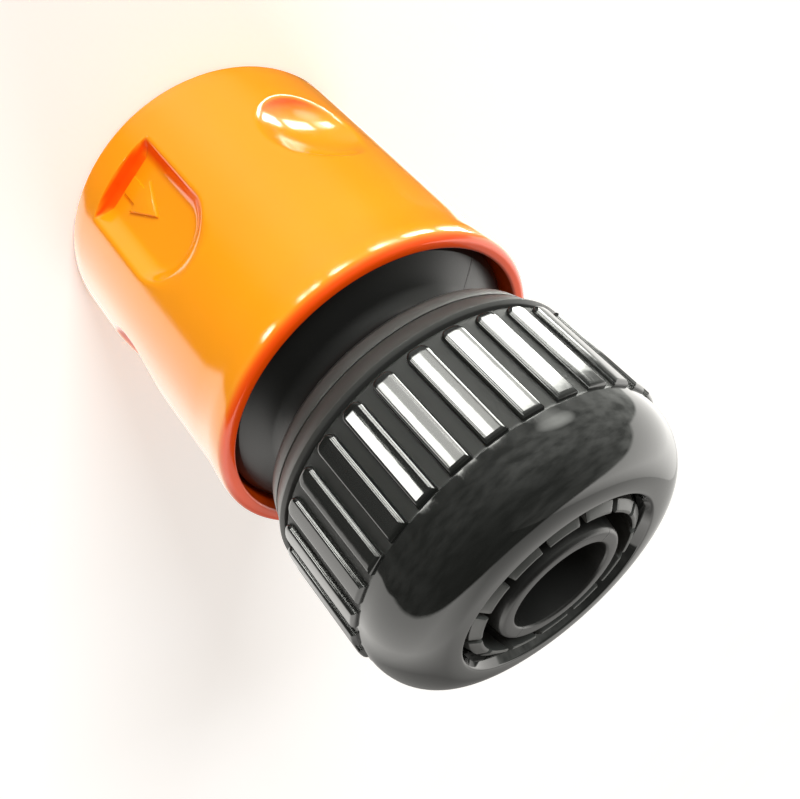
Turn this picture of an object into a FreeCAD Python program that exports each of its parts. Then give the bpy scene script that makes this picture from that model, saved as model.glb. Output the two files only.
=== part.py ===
import FreeCAD, Part

import math
import os

# Quick connector for a half inch garden hose. Millimetres.
# +Z runs along the axis from the socket's mouth, which stands on the ground, to the hose end.
# Azimuth 0 is the -Y side, where one of the two arrow recesses of the sleeve is.

# Socket for the male fitting
socket_bore_r = 8.0
socket_entry_r = 9.0
socket_entry_depth = 12.6
socket_lead_in = 1.0
socket_seal_length = 10.4
tube_wall = 2.0
waterway_r = 6.6
waterway_taper = 2.6

# Flange, neck and collar of the body
flange_gap = 0.4
flange_thickness = 2.0
flange_rim_chamfer = 0.6
neck_wall = 4.8
neck_length = 5.6
neck_flat = 1.8
neck_round = 2.0
collar_front_inset = 1.4
collar_bevel_length = 1.7
collar_bevel_rise = 0.55
collar_line_depth = 0.18
collar_line_width = 0.14
collar_length = 4.0
collar_proud = 0.3
collar_edge = 0.3
collar_front_round = 0.9

# Hose tail
hose_bore_r = 4.92
tail_wall = 1.38
tail_proud = 0.15
tail_tip_length = 1.05
tail_tip_round = 0.5
barb_height = 0.65
barb_pitch = 2.9
barb_land = 0.2
barb_count = 4
hose_space = 3.4
hose_space_floor = 1.7
hose_space_round = 0.8

# Thread between the body and the nut
thread_tube_wall = 2.9
thread_tube_length = 6.4
thread_depth = 0.9
thread_pitch = 3.0
thread_crest = 0.8
thread_flank_angle = 25.0
thread_runout = 1.6
thread_body_turns = 1.25
thread_nut_turns = 1.5
thread_nut_start = 120.0
thread_gap = 0.25

# Ring of grip fingers
grip_ring_height = 1.9
grip_ring_seat_gap = 0.1
grip_pass_gap = 0.15
grip_cone_gap = 0.22
finger_count = 14
finger_slit = 0.75
finger_phase = 0.6
finger_length = 8.75
finger_root_thickness = 1.7
finger_root_inset = 0.5
finger_tip_inner_r = 7.95
finger_tip_drop = 0.5
finger_tip_flat = 0.35
finger_tip_gap = 0.45
finger_tooth_height = 0.5
finger_tooth_pitch = 1.9
finger_tooth_back = 1.5
finger_tooth_count = 3

# Clamp nut
nut_back_gap = 0.25
nut_wall = 2.25
nut_back_round = 0.35
nut_rib_height = 0.5
nut_rib_count = 30
nut_rib_width = 1.75
nut_rib_round = 0.35
nut_rib_end_round = 0.8
nut_rib_phase = -19.8
nut_rib_inset = 0.45
nut_nose_length = 6.2
nut_nose_round = 5.4
nut_lip = 0.15
nut_mouth_r = 10.1
nut_throat_r = 9.55
nut_mouth_depth = 1.4
nut_cone_back_r = 12.4
nut_cone_setback = 1.0
nut_bore_shoulder = 0.7

# Locking claws and the ramp that holds them in
claw_count = 4
claw_azimuth = 45.0
claw_lift = 0.95
claw_grip_r = 8.15
claw_setback = 3.6
claw_length = 4.4
claw_width = 6.2
claw_head_overlap = 0.7
claw_head_thickness = 1.3
claw_gap = 0.12
claw_nose_height = 1.7
claw_nose_length = 1.5

# Front ring
front_ring_thickness = 1.8
front_ring_lap = 0.9
front_ring_gap = 0.3
front_ring_rest_gap = 0.1
front_ring_skirt = 1.5
front_ring_skirt_wall = 0.8
front_ring_fit = 0.05
front_ring_edge = 0.4

# Release sleeve
sleeve_ground_gap = 0.2
sleeve_front_round = 0.5
sleeve_wall = 1.26
sleeve_lip_overhang = 1.4
sleeve_lip_flare = 0.25
sleeve_lip_round = 1.0
sleeve_inner_round = 0.6
sleeve_flare_length = 4.2
sleeve_flare_round = 20.0
sleeve_travel = 4.5
sleeve_guide_gap = 0.3
sleeve_web_gap = 0.4
sleeve_web_thickness = 1.6

# Finger recesses of the sleeve
recess_depth = 1.8
recess_floor_wall = 2.2
recess_boss_wall = 1.5
arrow_recess_low_z = 4.0
arrow_recess_width = 9.6
arrow_recess_length = 15.0
arrow_recess_side_slope = 52.0
arrow_recess_low_slope = 8.0
arrow_recess_high_slope = 56.0
arrow_recess_low_round = 1.3
arrow_recess_high_share = 0.8
dimple_azimuth = 63.0
dimple_low_z = 6.6
dimple_width = 11.6
dimple_length = 12.2
dimple_centre_out = 1.0
arrow_height = 0.35
arrow_inset = 0.8
arrow_stem_length = 2.2
arrow_stem_width = 2.0
arrow_head_length = 3.8
arrow_head_width = 3.8

# Return spring
spring_wire = 1.1
spring_turns = 6.0
spring_end_gap = 0.04
spring_body_gap = 0.45
spring_seat_gap = 0.1
spring_room = 17.1
spring_points_per_turn = 16

# Small edge roundings, how far added ribs and ridges sink in, how far cutting tools reach past
soft_edge = 0.3
crisp_edge = 0.2
sunk = 0.2
past = 1.0

# Radii that follow from the sizes above
tube_r = socket_entry_r + tube_wall
neck_r = waterway_r + neck_wall
tail_r = hose_bore_r + tail_wall
barb_r = tail_r + barb_height
hose_space_r = tail_r + hose_space
thread_root_r = hose_space_r + thread_tube_wall
thread_r = thread_root_r + thread_depth
nut_bore_r = thread_r + thread_gap
nut_barrel_r = nut_bore_r + nut_wall
nut_rib_r = nut_barrel_r + nut_rib_height
collar_r = nut_barrel_r + collar_proud
collar_front_r = collar_r - collar_front_inset
nut_thread_r = thread_root_r + thread_gap
grip_ring_r = nut_thread_r - grip_pass_gap
finger_root_r = hose_space_r + finger_root_inset + finger_root_thickness
claw_head_r = tube_r + claw_gap + claw_head_thickness
spring_r = tube_r + spring_body_gap + spring_wire / 2

# Heights that follow, from the mouth of the socket upwards
claw_low_z = front_ring_thickness + claw_setback
claw_high_z = claw_low_z + claw_length
claw_mid_z = (claw_low_z + claw_high_z) / 2
sleeve_stop_z = front_ring_thickness + front_ring_rest_gap
sleeve_web_low_z = claw_high_z + claw_head_overlap + sleeve_web_gap
sleeve_web_high_z = sleeve_web_low_z + sleeve_web_thickness
flange_front_z = sleeve_web_high_z + spring_room
flange_back_z = flange_front_z + flange_thickness
sleeve_lip_z = flange_back_z + sleeve_lip_overhang
socket_seal_z = socket_entry_depth + socket_lead_in
socket_floor_z = socket_seal_z + socket_seal_length
neck_mid_z = flange_back_z + neck_length / 2
collar_front_z = flange_back_z + neck_length
collar_line_z = collar_front_z + collar_bevel_length
collar_back_z = collar_front_z + collar_length
hose_space_floor_z = collar_back_z + hose_space_floor
thread_tube_end_z = collar_back_z + thread_tube_length
nut_back_z = collar_back_z + nut_back_gap
grip_ring_back_z = thread_tube_end_z + grip_ring_seat_gap
grip_ring_front_z = grip_ring_back_z + grip_ring_height
finger_tip_z = grip_ring_front_z + finger_length
nut_front_z = finger_tip_z + nut_lip
nut_throat_z = nut_front_z - nut_mouth_depth
nut_cone_back_z = grip_ring_front_z + nut_cone_setback
nut_shoulder_z = nut_front_z - nut_nose_length
tail_tip_z = nut_front_z + tail_proud
body_thread_z = collar_back_z + thread_runout
nut_thread_z = body_thread_z - thread_pitch / 2

# Slopes that follow
ramp_slope = claw_lift / sleeve_travel
cone_slope = (nut_cone_back_r - nut_throat_r) / (nut_throat_z - nut_cone_back_z)

ORIGIN = FreeCAD.Vector(0, 0, 0)
Z_AXIS = FreeCAD.Vector(0, 0, 1)


def ramp_r(z):
    """Radius of the sleeve's inner ramp over the claws at height z."""
    return claw_head_r + claw_gap + ramp_slope * (claw_mid_z - z)


def cone_r(z):
    """Radius of the nut's inner cone over the grip fingers at height z."""
    return nut_throat_r + cone_slope * (nut_throat_z - z)


# The sleeve's outside: the recess floors stay a wall's thickness outside the ramp.
recess_floor_out = ramp_r(arrow_recess_low_z) + recess_floor_wall
sleeve_r = recess_floor_out + recess_depth
sleeve_inner_r = sleeve_r - sleeve_wall
flange_r = sleeve_inner_r - flange_gap
front_ring_r = ramp_r(sleeve_stop_z) + front_ring_lap


def rounded_wire(corners, place):
    """Closed wire through corners (a, b[, rounding]); place turns (a, b) into a point."""
    flat = [FreeCAD.Vector(corner[0], corner[1], 0) for corner in corners]
    count = len(flat)
    ends = []
    for i, corner in enumerate(corners):
        point = flat[i]
        rounding = corner[2] if len(corner) > 2 else 0
        if rounding == 0:
            ends.append((point, None, point))
            continue
        back = (flat[i - 1] - point).normalize()
        ahead = (flat[(i + 1) % count] - point).normalize()
        half = back.getAngle(ahead) / 2
        reach = rounding / math.tan(half)
        middle = (back + ahead).normalize() * (rounding / math.sin(half) - rounding)
        ends.append((point + back * reach, point + middle, point + ahead * reach))
    edges = []
    for i in range(count):
        start, middle, finish = ends[i]
        if middle is not None:
            points = [place(p.x, p.y) for p in (start, middle, finish)]
            edges.append(Part.Arc(*points).toShape())
        following = ends[(i + 1) % count][0]
        if finish.distanceToPoint(following) > 1e-6:
            line = Part.LineSegment(place(finish.x, finish.y), place(following.x, following.y))
            edges.append(line.toShape())
    return Part.Wire(edges)


def lathe(corners):
    """Solid of revolution about the axis from corners (radius, z[, rounding])."""
    wire = rounded_wire(corners, lambda r, z: FreeCAD.Vector(r, 0, z))
    return Part.Face(wire).revolve(ORIGIN, Z_AXIS, 360)


def turned(shape, azimuth):
    """Copy of a shape made on the -Y side, turned to an azimuth."""
    copy = shape.copy()
    copy.rotate(ORIGIN, Z_AXIS, azimuth)
    return copy


def ring_of(shape, count, first):
    """Copies of a shape made on the -Y side, spread evenly round the axis."""
    return [turned(shape, first + i * 360 / count) for i in range(count)]


def block(width, near, far, low_z, high_z):
    """Box on the -Y side: width along X, near to far from the axis."""
    return Part.makeBox(width, far - near, high_z - low_z, FreeCAD.Vector(-width / 2, -far, low_z))


def thread_ridge(root_r, crest_r, start_z, turns, start_azimuth):
    """Helical ridge of trapezoid section, from root_r to crest_r."""
    half_crest = thread_crest / 2
    half_root = half_crest + thread_depth * math.tan(math.radians(thread_flank_angle))
    sides = [(root_r, -half_root), (crest_r, -half_crest), (crest_r, half_crest), (root_r, half_root)]
    section = rounded_wire(sides, lambda r, z: FreeCAD.Vector(r, 0, z))
    path = Part.makeHelix(thread_pitch, thread_pitch * turns, root_r)
    ridge = Part.Wire(path.Edges).makePipeShell([section], True, True)
    ridge.rotate(ORIGIN, Z_AXIS, start_azimuth)
    ridge.translate(FreeCAD.Vector(0, 0, start_z))
    return ridge


def main_body():
    """Socket, flange, waisted neck, collar, thread and barbed hose tail, moulded as one."""
    front = [
        (socket_entry_r, front_ring_thickness),
        (tube_r, front_ring_thickness),
        (tube_r, flange_front_z, soft_edge),
        (flange_r, flange_front_z, soft_edge),
        (flange_r, flange_back_z - flange_rim_chamfer, crisp_edge),
        (flange_r - flange_rim_chamfer, flange_back_z, crisp_edge),
        (neck_r, neck_mid_z - neck_flat / 2, neck_round),
        (neck_r, neck_mid_z + neck_flat / 2, neck_round),
    ]
    line_r = collar_front_r + collar_bevel_rise
    collar = [
        (collar_front_r, collar_front_z, collar_front_round),
        (line_r, collar_line_z),
        (line_r - collar_line_depth, collar_line_z),
        (line_r - collar_line_depth, collar_line_z + collar_line_width),
        (line_r, collar_line_z + collar_line_width),
        (collar_r, collar_back_z - collar_edge),
        (collar_r - collar_edge, collar_back_z),
        (thread_root_r, collar_back_z),
        (thread_root_r, thread_tube_end_z, soft_edge),
        (hose_space_r, thread_tube_end_z),
        (hose_space_r, hose_space_floor_z, hose_space_round),
        (tail_r, hose_space_floor_z, hose_space_round),
    ]
    barbs = []
    for i in reversed(range(barb_count)):
        top = tail_tip_z - tail_tip_length - i * barb_pitch
        step = top - barb_pitch
        barbs += [(tail_r, step), (barb_r, step), (barb_r, step + barb_land), (tail_r, top)]
    bore = [
        (tail_r, tail_tip_z, tail_tip_round),
        (hose_bore_r, tail_tip_z, crisp_edge),
        (hose_bore_r, collar_back_z),
        (waterway_r, collar_back_z - waterway_taper),
        (waterway_r, socket_floor_z),
        (socket_bore_r, socket_floor_z, soft_edge),
        (socket_bore_r, socket_seal_z),
        (socket_entry_r, socket_entry_depth),
    ]
    body = lathe(front + collar + barbs[:-1] + bore)
    body = body.fuse(thread_ridge(thread_root_r - sunk, thread_r, body_thread_z, thread_body_turns, 0))
    window = block(claw_width + 2 * claw_gap, socket_entry_r - tube_wall, tube_r + tube_wall,
                   claw_low_z - claw_gap, claw_high_z + claw_gap)
    return body.cut(ring_of(window, claw_count, claw_azimuth))


def front_ring():
    """Snap ring on the front of the tube: the sleeve's stop and the foot of the whole."""
    skirt_inner_r = tube_r + front_ring_fit
    skirt_outer_r = skirt_inner_r + front_ring_skirt_wall
    skirt_end_z = front_ring_thickness + front_ring_skirt
    return lathe([
        (socket_entry_r, 0, front_ring_edge),
        (front_ring_r, 0, front_ring_edge),
        (front_ring_r, front_ring_thickness, front_ring_edge / 2),
        (skirt_outer_r, front_ring_thickness),
        (skirt_outer_r, skirt_end_z, crisp_edge),
        (skirt_inner_r, skirt_end_z),
        (skirt_inner_r, front_ring_thickness),
        (socket_entry_r, front_ring_thickness),
    ])


def locking_claw():
    """Claw on the -Y side: a stem through the body's window and a head under the ramp."""
    stem = block(claw_width, claw_grip_r - past, claw_head_r, claw_low_z, claw_high_z)
    head_low_z = claw_low_z - claw_head_overlap
    head_high_z = claw_high_z + claw_head_overlap
    head_width = claw_width + 2 * claw_head_overlap
    head = block(head_width, tube_r - past, claw_head_r + past, head_low_z, head_high_z)
    shell = lathe([
        (tube_r + claw_gap, head_low_z),
        (ramp_r(head_low_z) - claw_gap, head_low_z),
        (ramp_r(head_high_z) - claw_gap, head_high_z),
        (tube_r + claw_gap, head_high_z),
    ])
    head = head.common(shell)
    grip_foot = FreeCAD.Vector(0, 0, claw_low_z - claw_length / 2)
    grip = Part.makeCylinder(claw_grip_r, claw_length * 2, grip_foot)
    lead_in_r = claw_grip_r + claw_nose_height
    lead_in_z = claw_low_z + claw_nose_length * (1 + past / claw_nose_height)
    lead_in = rounded_wire([
        (claw_grip_r - past, claw_low_z - past),
        (claw_grip_r - past, lead_in_z),
        (lead_in_r, claw_low_z),
        (lead_in_r, claw_low_z - past),
    ], lambda out, z: FreeCAD.Vector(-claw_width / 2, -out, z))
    nose = Part.Face(lead_in).extrude(FreeCAD.Vector(claw_width, 0, 0))
    bounds = lathe([
        (claw_grip_r, claw_low_z),
        (tube_r + claw_gap + claw_head_thickness / 2, claw_low_z),
        (tube_r + claw_gap + claw_head_thickness / 2, claw_high_z),
        (claw_grip_r, claw_high_z),
    ])
    return stem.common(bounds).cut(nose).cut(grip).fuse(head).removeSplitter()


def recess_outline(height, grow):
    """Outline of the arrow recess at a height above its floor, widened by grow."""
    half_width = arrow_recess_width / 2 + grow
    low_z = arrow_recess_low_z - grow
    high_z = arrow_recess_low_z + arrow_recess_length + grow
    rim = math.sqrt(sleeve_r ** 2 - (arrow_recess_width / 2) ** 2) - recess_floor_out
    side = half_width + (height - rim) * math.tan(math.radians(arrow_recess_side_slope))
    low = low_z - (height - recess_depth) * math.tan(math.radians(arrow_recess_low_slope))
    high = high_z + (height - recess_depth) * math.tan(math.radians(arrow_recess_high_slope))
    out = recess_floor_out + height - grow
    high_round = side * arrow_recess_high_share
    corners = [
        (-side, low, arrow_recess_low_round),
        (side, low, arrow_recess_low_round),
        (side, high, high_round),
        (-side, high, high_round),
    ]
    return rounded_wire(corners, lambda x, z: FreeCAD.Vector(x, -out, z))


def arrow_recess(grow):
    """Tool on the -Y side: flat floor, steep low end, sloping sides and round high end."""
    floor = recess_outline(0, grow)
    outside = recess_outline(recess_depth + grow + past, grow)
    return Part.makeLoft([floor, outside], True, True)


def dimple(grow):
    """Tool on the -Y side: part of an ellipsoid."""
    ball = Part.makeSphere(1)
    scale = FreeCAD.Matrix()
    scale.scale(dimple_width / 2 + grow, recess_depth + dimple_centre_out + grow, dimple_length / 2 + grow)
    ball = ball.transformGeometry(scale)
    centre_z = dimple_low_z + dimple_length / 2
    ball.translate(FreeCAD.Vector(0, -sleeve_r - dimple_centre_out, centre_z))
    return ball


def release_arrow():
    """Raised arrow on the floor of the arrow recess, pointing to the hose."""
    low = arrow_recess_low_z + arrow_inset
    neck = low + arrow_stem_length
    tip = neck + arrow_head_length
    half = [(arrow_stem_width / 2, low), (arrow_stem_width / 2, neck), (arrow_head_width / 2, neck)]
    corners = half + [(0, tip)] + [(-x, z) for x, z in reversed(half)]
    wire = rounded_wire(corners, lambda x, z: FreeCAD.Vector(x, -recess_floor_out + sunk, z))
    return Part.Face(wire).extrude(FreeCAD.Vector(0, -arrow_height - sunk, 0))


def release_sleeve():
    """Orange sleeve: ramp over the claws, guide web, spring chamber and finger recesses."""
    counter_r = front_ring_r + front_ring_gap
    guide_r = tube_r + sleeve_guide_gap
    lip_r = sleeve_r + sleeve_lip_flare
    shell = lathe([
        (counter_r, sleeve_ground_gap, soft_edge),
        (sleeve_r, sleeve_ground_gap, sleeve_front_round),
        (sleeve_r, sleeve_lip_z - sleeve_flare_length, sleeve_flare_round),
        (lip_r, sleeve_lip_z, sleeve_lip_round),
        (sleeve_inner_r, sleeve_lip_z, soft_edge),
        (sleeve_inner_r, sleeve_web_high_z, sleeve_inner_round),
        (guide_r, sleeve_web_high_z),
        (guide_r, sleeve_web_low_z),
        (ramp_r(sleeve_web_low_z), sleeve_web_low_z),
        (ramp_r(sleeve_stop_z), sleeve_stop_z),
        (counter_r, sleeve_stop_z),
    ])
    arrows = [0, 180]
    ovals = [arrow + side * dimple_azimuth for arrow in arrows for side in (1, -1)]
    low_z = sleeve_web_high_z - past
    high_z = arrow_recess_low_z + arrow_recess_length + 2 * recess_boss_wall
    guard = lathe([
        (recess_floor_out - recess_boss_wall, low_z),
        (sleeve_inner_r + sunk, low_z),
        (sleeve_inner_r + sunk, high_z),
        (recess_floor_out - recess_boss_wall, high_z),
    ])
    bosses = []
    for azimuth in arrows:
        bosses.append(turned(arrow_recess(recess_boss_wall), azimuth).common(guard))
    for azimuth in ovals:
        bosses.append(turned(dimple(recess_boss_wall), azimuth).common(guard))
    shell = shell.fuse(bosses)
    cutters = [turned(arrow_recess(0), azimuth) for azimuth in arrows]
    cutters += [turned(dimple(0), azimuth) for azimuth in ovals]
    shell = shell.cut(cutters)
    return shell.fuse([turned(release_arrow(), azimuth) for azimuth in arrows])


def return_spring():
    """Coil spring round the tube, between the sleeve's web and the flange."""
    low_z = sleeve_web_high_z + spring_seat_gap + spring_wire / 2
    high_z = flange_front_z - spring_seat_gap - spring_wire / 2
    closed = spring_wire + spring_end_gap
    pitch = (high_z - low_z - 2 * closed) / (spring_turns - 2)
    points = []
    for i in range(int(spring_turns * spring_points_per_turn) + 1):
        turn = i / spring_points_per_turn
        open_turns = min(max(turn - 1, 0), spring_turns - 2)
        closed_turns = turn - open_turns
        z = low_z + closed * closed_turns + pitch * open_turns
        angle = 2 * math.pi * turn
        points.append(FreeCAD.Vector(spring_r * math.cos(angle), spring_r * math.sin(angle), z))
    path = Part.BSplineCurve()
    path.interpolate(points)
    section = Part.Wire(Part.Circle(points[0], path.tangent(0)[0], spring_wire / 2).toShape())
    return Part.Wire(path.toShape()).makePipeShell([section], True, True)


def grip_ring():
    """Ring with fingers that the nut's cone presses onto the hose."""
    finger_meet_z = nut_throat_z - (finger_root_r + grip_cone_gap - nut_throat_r) / cone_slope
    tip_outer_r = nut_throat_r - finger_tip_gap
    tip_meet_z = nut_throat_z - (tip_outer_r + grip_cone_gap - nut_throat_r) / cone_slope
    inner_root_r = hose_space_r + finger_root_inset
    teeth_end_z = finger_tip_z - finger_tooth_pitch * finger_tooth_count
    inner_slope = (inner_root_r - finger_tip_inner_r) / (finger_length - finger_root_inset)
    outline = [
        (hose_space_r, grip_ring_back_z, crisp_edge),
        (grip_ring_r, grip_ring_back_z, crisp_edge),
        (grip_ring_r, grip_ring_front_z, crisp_edge),
        (finger_root_r, grip_ring_front_z),
        (finger_root_r, finger_meet_z),
        (tip_outer_r, tip_meet_z),
        (tip_outer_r, finger_tip_z - finger_tip_drop),
        (finger_tip_inner_r + finger_tip_flat, finger_tip_z),
    ]
    for i in range(finger_tooth_count):
        crest_z = finger_tip_z - i * finger_tooth_pitch
        crest_r = finger_tip_inner_r + inner_slope * (finger_tip_z - crest_z)
        outline += [(crest_r, crest_z), (crest_r + finger_tooth_height, crest_z - finger_tooth_back)]
    outline += [
        (finger_tip_inner_r + inner_slope * (finger_tip_z - teeth_end_z), teeth_end_z),
        (inner_root_r, grip_ring_front_z + finger_root_inset),
        (hose_space_r, grip_ring_front_z),
    ]
    ring = lathe(outline)
    slit = block(finger_slit, finger_tip_inner_r - past, grip_ring_r, grip_ring_front_z, finger_tip_z + past)
    return ring.cut(ring_of(slit, finger_count, finger_phase))


def nut_rib():
    """One rib on the -Y side, rounded along its edges and at its back end."""
    low_z = nut_back_z + nut_rib_inset
    rib = block(nut_rib_width, nut_barrel_r - sunk, nut_rib_r, low_z, nut_shoulder_z)
    boxes = [(edge, edge.BoundBox) for edge in rib.Edges]
    back_corners = [edge for edge, box in boxes if box.ZMax < low_z + sunk and box.YLength > sunk]
    rib = rib.makeFillet(nut_rib_end_round, back_corners)
    boxes = [(edge, edge.BoundBox) for edge in rib.Edges]
    top = [edge for edge, box in boxes if box.YMax < -nut_rib_r + sunk and box.ZMin < nut_shoulder_z - sunk]
    return rib.makeFillet(nut_rib_round, top)


def clamp_nut():
    """Nut with ribs, a bullnose front, an inner thread and a cone over the fingers."""
    nut = lathe([
        (nut_bore_r, nut_back_z, soft_edge),
        (nut_barrel_r, nut_back_z, nut_back_round),
        (nut_barrel_r, nut_front_z, nut_nose_round),
        (nut_mouth_r, nut_front_z, soft_edge),
        (nut_throat_r, nut_throat_z),
        (nut_cone_back_r, nut_cone_back_z),
        (nut_bore_r, nut_cone_back_z - nut_bore_shoulder),
    ])
    nut = nut.fuse(ring_of(nut_rib(), nut_rib_count, nut_rib_phase))
    start_z = nut_thread_z + thread_pitch * thread_nut_start / 360
    ridge = thread_ridge(nut_bore_r + sunk, nut_thread_r, start_z, thread_nut_turns, thread_nut_start)
    return nut.fuse(ridge)


shapes = {
    "main_body": main_body(),
    "front_ring": front_ring(),
    "release_sleeve": release_sleeve(),
    "return_spring": return_spring(),
    "grip_ring": grip_ring(),
    "clamp_nut": clamp_nut(),
}
for i, claw in enumerate(ring_of(locking_claw(), claw_count, claw_azimuth)):
    shapes["locking_claw_" + str(i + 1)] = claw

os.makedirs("parts", exist_ok=True)
for name, shape in shapes.items():
    print(name, shape.ShapeType, len(shape.Solids), shape.isValid(), round(shape.Volume, 1))
    shape.exportStep("parts/" + name + ".step")
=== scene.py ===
import math

import bmesh
import bpy
from mathutils import Matrix, Vector


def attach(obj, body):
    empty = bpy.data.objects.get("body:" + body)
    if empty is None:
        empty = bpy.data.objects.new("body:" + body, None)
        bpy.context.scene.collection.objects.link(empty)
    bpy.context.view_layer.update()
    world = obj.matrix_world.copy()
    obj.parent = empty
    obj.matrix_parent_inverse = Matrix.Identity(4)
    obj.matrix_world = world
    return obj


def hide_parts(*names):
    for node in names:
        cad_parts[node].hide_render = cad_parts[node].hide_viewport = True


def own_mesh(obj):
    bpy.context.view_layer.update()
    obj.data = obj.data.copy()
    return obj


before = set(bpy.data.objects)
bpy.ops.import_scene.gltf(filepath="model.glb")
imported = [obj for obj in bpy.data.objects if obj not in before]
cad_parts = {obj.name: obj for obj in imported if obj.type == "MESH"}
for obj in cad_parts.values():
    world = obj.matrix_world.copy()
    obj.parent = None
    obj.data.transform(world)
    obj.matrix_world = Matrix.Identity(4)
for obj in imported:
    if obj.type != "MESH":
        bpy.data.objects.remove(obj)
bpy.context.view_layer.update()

MM = 0.001
TURN = 2 * math.pi
ORIGIN = Vector((0, 0, 0))
UP = Vector((0, 0, 1))

# Distances in metres below which points count as the same, and as on the same plane
SAME_SPOT, SAME_PLANE = 1e-7, 1e-6

# Sizes of the connector in millimetres, as in the solids.
# Azimuth 0 is the -Y side, and +Z runs from the socket's mouth to the hose end.

# Body: socket tube, flange, neck, collar, thread and hose tail
TUBE_R, SOCKET_R, SEAL_R, WATER_R = 11.0, 9.0, 8.0, 6.6
RING_TOP, SOCKET_END, SEAL_START, SEAL_END = 1.8, 12.6, 13.6, 24.0
FLANGE_R, FLANGE_FRONT, FLANGE_BACK = 15.64, 29.6, 31.6
FLANGE_CHAMFER = 0.6
NECK_R, NECK_LOW, NECK_HIGH = 11.4, 33.5, 35.3
COLLAR_FRONT_R, COLLAR_LINE_R, COLLAR_R = 14.9, 15.45, 16.3
COLLAR_FRONT, COLLAR_LINE, COLLAR_BACK = 37.2, 38.9, 41.2
LINE_DEEP, LINE_WIDE, COLLAR_CHAMFER, WATER_TAPER = 0.18, 0.14, 0.3, 2.6
THREAD_ROOT_R, THREAD_TIP_R, THREAD_END = 12.6, 13.5, 47.6
THREAD_PITCH, THREAD_START, THREAD_TURNS = 3.0, 42.8, 1.25
THREAD_HALF_ROOT, THREAD_HALF_TIP, THREAD_ROUND, THREAD_SUNK = 0.82, 0.4, 0.12, 0.1
HOSE_SPACE_R, HOSE_SPACE_FLOOR = 9.7, 42.9
TAIL_R, TAIL_BORE_R, BARB_R, TAIL_TIP = 6.3, 4.92, 6.95, 58.65
BARB_PITCH, BARB_COUNT, BARB_LAND, TAIL_LEAD = 2.9, 4, 0.2, 1.05

# Snap ring at the socket's mouth, with a skirt round the tube
RING_R, SKIRT_R, SKIRT_IN_R, SKIRT_TOP = 14.64, 11.85, 11.05, 3.3

# Claws in the socket's windows
CLAW_WIDTH, CLAW_GAP, CLAW_LOW, CLAW_HIGH = 6.2, 0.12, 5.4, 9.8
CLAW_GRIP_R, CLAW_HEAD_R, CLAW_HEAD_LAP = 8.15, 12.42, 0.7
CLAW_LEAD_HIGH, CLAW_LEAD_DEEP, CLAW_LIFT, CLAW_SWEEP = 1.5, 1.7, 0.95, 56
CLAW_AZIMUTHS = (45, 135, 225, 315)
WINDOW_TOP, WINDOW_CUT_DEEP = 10.4, 8.0

# Sleeve with its two arrow recesses and four oval dimples
SLEEVE_R, SLEEVE_IN_R, SLEEVE_LOW, SLEEVE_LIP = 17.3, 16.04, 0.2, 33.0
SLEEVE_TRAVEL = 4.5
LIP_R, LIP_START = 17.55, 28.8
LIP_SWELL, LIP_TUCK, LIP_LONG = 0.04, 0.09, 1.7
WEB_LOW, WEB_HIGH, GUIDE_R = 10.9, 12.5, 11.3
STOP_Z, COUNTER_R = 1.9, 14.94
RAMP_LOW_R, RAMP_HIGH_R = 13.72, 11.82
RECESS_DEPTH, RECESS_FLOOR, INNER_FLOOR = 1.8, 15.5, 14.0
RECESS_BOTTOM, RECESS_TOP = 1.6, 21.5
ARROW_LOW, ARROW_HIGH, ARROW_HALF, ARROW_ROUND = 4.0, 19.0, 4.8, 5.0
DIMPLE_LOW, DIMPLE_LONG, DIMPLE_WIDE, DIMPLE_OUT = 6.6, 12.2, 11.6, 1.0
ARROW_AZIMUTHS = (0, 180)
DIMPLE_AZIMUTHS = (63, 117, 243, 297)

# The lean of the arrow recess's walls from upright in degrees, and how soft edges are
ARROW_SIDE_LEAN, ARROW_END_LEAN = 52, 8
ARROW_SIDE_SOFT, ARROW_END_SOFT, CRISP_RIM = 0.5, 0.9, 0.3

# Raised arrow on the arrow recess's floor: its shaft ends at the neck, where its head starts
MARK_LOW, MARK_NECK, MARK_TIP, MARK_SHAFT_HALF, MARK_HEAD_HALF = 4.8, 7.0, 10.8, 1.0, 1.9
MARK_SUNK, MARK_HIGH, MARK_ROUND = 0.2, 0.35, 0.14

# Heights at which the sleeve's walls are cut so that the recesses have points to sink: the
# first, the step and how many, for the outside, the arrow's steep end and the inside
OUTSIDE_CUTS, STEEP_CUTS, INSIDE_CUTS = (2.4, 0.22, 82), (3.5, 0.07, 10), (13.4, 0.5, 16)

# How far off a wall a point may lie, how little a point may sink, and the step for a slope
WALL_SLACK, LEAST_SINK, SLOPE_STEP = 0.05, 0.0001, 0.05

# Return spring
SPRING_R, SPRING_WIRE, SPRING_LOW, SPRING_HIGH, SPRING_TURNS = 12.0, 1.1, 13.15, 28.95, 6
SPRING_END_GAP, SPRING_TURN_STEPS = 0.04, 48

# Ring of grip fingers
GRIP_BACK, GRIP_FRONT, GRIP_R = 47.7, 49.6, 12.7
FINGER_TIP, FINGER_COUNT, FINGER_SLIT, FINGER_PHASE = 58.35, 14, 0.75, 0.6
FINGER_ROOT_R, FINGER_ROOT_IN_R, FINGER_TIP_R, FINGER_TIP_IN_R = 11.9, 10.2, 9.1, 7.95
FINGER_TAPER_LONG, FINGER_TAPER_LOW, FINGER_TAPER_HIGH = 8.25, 51.2, 57.7
TOOTH_COUNT, TOOTH_PITCH, TOOTH_LONG, TOOTH_DEEP = 3, 1.9, 1.5, 0.5

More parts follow.
